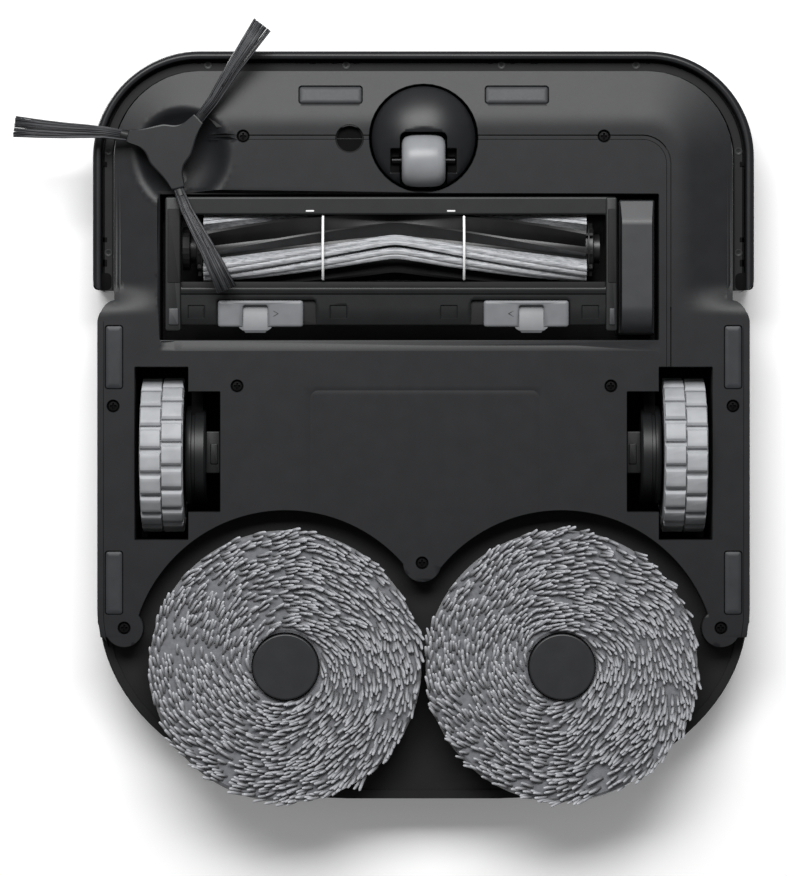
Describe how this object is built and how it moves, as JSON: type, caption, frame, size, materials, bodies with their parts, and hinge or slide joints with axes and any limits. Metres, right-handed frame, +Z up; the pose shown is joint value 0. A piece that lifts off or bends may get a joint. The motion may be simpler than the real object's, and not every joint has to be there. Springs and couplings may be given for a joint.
{
  "type": "robot vacuum",
  "caption": "Low robot vacuum that also mops, with a bristle roller, a corner side brush, sprung drive wheels, a swivel caster and twin spinning pads at the rear.",
  "frame": {"origin": "middle of the whole machine's footprint, side brush included, on the floor that it stands on", "axes": "+Z up, -Y the way it drives, towards the bumper, +X across it"},
  "size_m": [0.357, 0.3777, 0.112],
  "materials": {
    "belly_plastic": "fine spark texture",
    "shell_plastic": "satin moulded",
    "dark_plastic": "matte moulded",
    "grey_plastic": "satin moulded",
    "smoked_window": "smoked, polished",
    "tyre_rubber": "matte moulded lugs",
    "fin_rubber": "matte",
    "nylon_bristle": "drawn filament",
    "steel_pin": "drawn",
    "screw_steel": "black coated",
    "pad_fabric": "chenille",
    "circuit_board": "solder mask"
  },
  "bodies": {
    "chassis": {"chassis_tray": "shell_plastic", "belly_plate": "belly_plastic", "top_shell": "shell_plastic", "turret_cover": "shell_plastic", "wheel_housing_left": "dark_plastic", "wheel_housing_right": "dark_plastic", "brush_chamber": "dark_plastic", "brush_gearbox": "grey_plastic", "brush_bearing": "dark_plastic", "battery_pack": "grey_plastic", "main_board": "circuit_board", "suction_fan": "dark_plastic", "carpet_sensor": "smoked_window", "cliff_window_front_left": "smoked_window", "cliff_window_front_right": "smoked_window", "cliff_window_mid_left": "smoked_window", "cliff_window_mid_right": "smoked_window", "cliff_window_rear_left": "smoked_window", "cliff_window_rear_right": "smoked_window", "belly_screw_1": "screw_steel", "belly_screw_2": "screw_steel", "belly_screw_3": "screw_steel", "belly_screw_4": "screw_steel", "belly_screw_5": "screw_steel", "belly_screw_6": "screw_steel", "belly_screw_7": "screw_steel", "belly_screw_8": "screw_steel", "belly_screw_9": "screw_steel"},
    "bumper": {"bumper_shell": "shell_plastic", "sensor_window": "smoked_window"},
    "power_button": {"power_button": "grey_plastic"},
    "lidar": {"lidar_head": "smoked_window"},
    "dust_bin": {"dust_bin": "dark_plastic", "dust_filter": "pad_fabric"},
    "bin_handle": {"bin_handle": "grey_plastic"},
    "brush_guard": {"brush_guard": "shell_plastic", "guard_wire_left": "steel_pin", "guard_wire_right": "steel_pin"},
    "latch_left": {"guard_latch_left": "grey_plastic"},
    "latch_right": {"guard_latch_right": "grey_plastic"},
    "roller": {"brush_core": "fin_rubber", "brush_bristles": "nylon_bristle"},
    "side_brush": {"side_brush_hub": "shell_plastic", "side_bristles_1": "nylon_bristle", "side_bristles_2": "nylon_bristle", "side_bristles_3": "nylon_bristle"},
    "caster": {"caster_housing": "shell_plastic", "caster_axle": "steel_pin"},
    "caster_wheel": {"caster_wheel": "grey_plastic"},
    "arm_left": {"drive_gearbox_left": "dark_plastic"},
    "arm_right": {"drive_gearbox_right": "dark_plastic"},
    "wheel_left": {"tyre_left": "tyre_rubber", "wheel_hub_left": "grey_plastic"},
    "wheel_right": {"tyre_right": "tyre_rubber", "wheel_hub_right": "grey_plastic"},
    "mop_carriage": {"mop_carriage": "dark_plastic"},
    "mop_left": {"mop_disc_left": "grey_plastic", "mop_pad_left": "pad_fabric"},
    "mop_right": {"mop_disc_right": "grey_plastic", "mop_pad_right": "pad_fabric"}
  },
  "joints": [
    {"name": "bumper_push", "type": "slide", "parent": "chassis", "child": "bumper", "axis": [0, 1, 0], "range_m": [0, 0.003], "stiffness_N_per_m": 400, "springref_m": -0.002},
    {"name": "power_press", "type": "slide", "parent": "chassis", "child": "power_button", "axis": [0, 0, -1], "range_m": [0, 0.0012], "stiffness_N_per_m": 800, "springref_m": -0.001},
    {"name": "lidar_spin", "type": "hinge", "parent": "chassis", "child": "lidar", "pos_m": [0.018, 0.095, 0.1], "axis": [0, 0, 1], "continuous": true},
    {"name": "bin_lift", "type": "slide", "parent": "chassis", "child": "dust_bin", "axis": [0, 0, 1], "range_m": [0, 0.09]},
    {"name": "bin_handle_fold", "type": "hinge", "parent": "dust_bin", "child": "bin_handle", "pos_m": [0.018, 0.03, 0.0928], "axis": [-1, 0, 0], "range_deg": [0, 90]},
    {"name": "guard_swing", "type": "hinge", "parent": "chassis", "child": "brush_guard", "pos_m": [0.018, -0.1045, 0.0115], "axis": [-1, 0, 0], "range_deg": [0, 60], "deforming": ["side_bristles_1", "side_bristles_2", "side_bristles_3"]},
    {"name": "latch_left_slide", "type": "slide", "parent": "brush_guard", "child": "latch_left", "axis": [1, 0, 0], "range_m": [0, 0.0055], "stiffness_N_per_m": 250, "springref_m": -0.002},
    {"name": "latch_right_slide", "type": "slide", "parent": "brush_guard", "child": "latch_right", "axis": [-1, 0, 0], "range_m": [0, 0.0055], "stiffness_N_per_m": 250, "springref_m": -0.002},
    {"name": "roller_spin", "type": "hinge", "parent": "chassis", "child": "roller", "pos_m": [0.018, -0.0799, 0.023], "axis": [1, 0, 0], "continuous": true},
    {"name": "side_brush_spin", "type": "hinge", "parent": "chassis", "child": "side_brush", "pos_m": [-0.105, -0.128, 0.008], "axis": [0, 0, 1], "continuous": true},
    {"name": "caster_swivel", "type": "hinge", "parent": "chassis", "child": "caster", "pos_m": [0.018, -0.133, 0.012], "axis": [0, 0, 1], "continuous": true},
    {"name": "caster_roll", "type": "hinge", "parent": "caster", "child": "caster_wheel", "pos_m": [0.018, -0.122, 0.0127], "axis": [1, 0, 0], "continuous": true},
    {"name": "suspension_left", "type": "hinge", "parent": "chassis", "child": "arm_left", "pos_m": [-0.092, -0.016, 0.031], "axis": [-1, 0, 0], "range_deg": [0, 36], "stiffness_Nm_per_rad": 0.25, "springref_deg": 65.89},
    {"name": "drive_left", "type": "hinge", "parent": "arm_left", "child": "wheel_left", "pos_m": [-0.1084, 0.02, 0.0375], "axis": [1, 0, 0], "continuous": true},
    {"name": "suspension_right", "type": "hinge", "parent": "chassis", "child": "arm_right", "pos_m": [0.128, -0.016, 0.031], "axis": [-1, 0, 0], "range_deg": [0, 36], "stiffness_Nm_per_rad": 0.25, "springref_deg": 65.89},
    {"name": "drive_right", "type": "hinge", "parent": "arm_right", "child": "wheel_right", "pos_m": [0.1444, 0.02, 0.0375], "axis": [1, 0, 0], "continuous": true},
    {"name": "mop_lift", "type": "slide", "parent": "chassis", "child": "mop_carriage", "axis": [0, 0, 1], "range_m": [0, 0.009]},
    {"name": "mop_spin_left", "type": "hinge", "parent": "mop_carriage", "child": "mop_left", "pos_m": [-0.0485, 0.1218, 0.01], "axis": [0, 0, 1], "continuous": true},
    {"name": "mop_spin_right", "type": "hinge", "parent": "mop_carriage", "child": "mop_right", "pos_m": [0.0845, 0.1218, 0.01], "axis": [0, 0, 1], "continuous": true}
  ],
  "couplings": [
    {"joint": "mop_spin_right", "follows": "mop_spin_left", "ratio": -1}
  ]
}
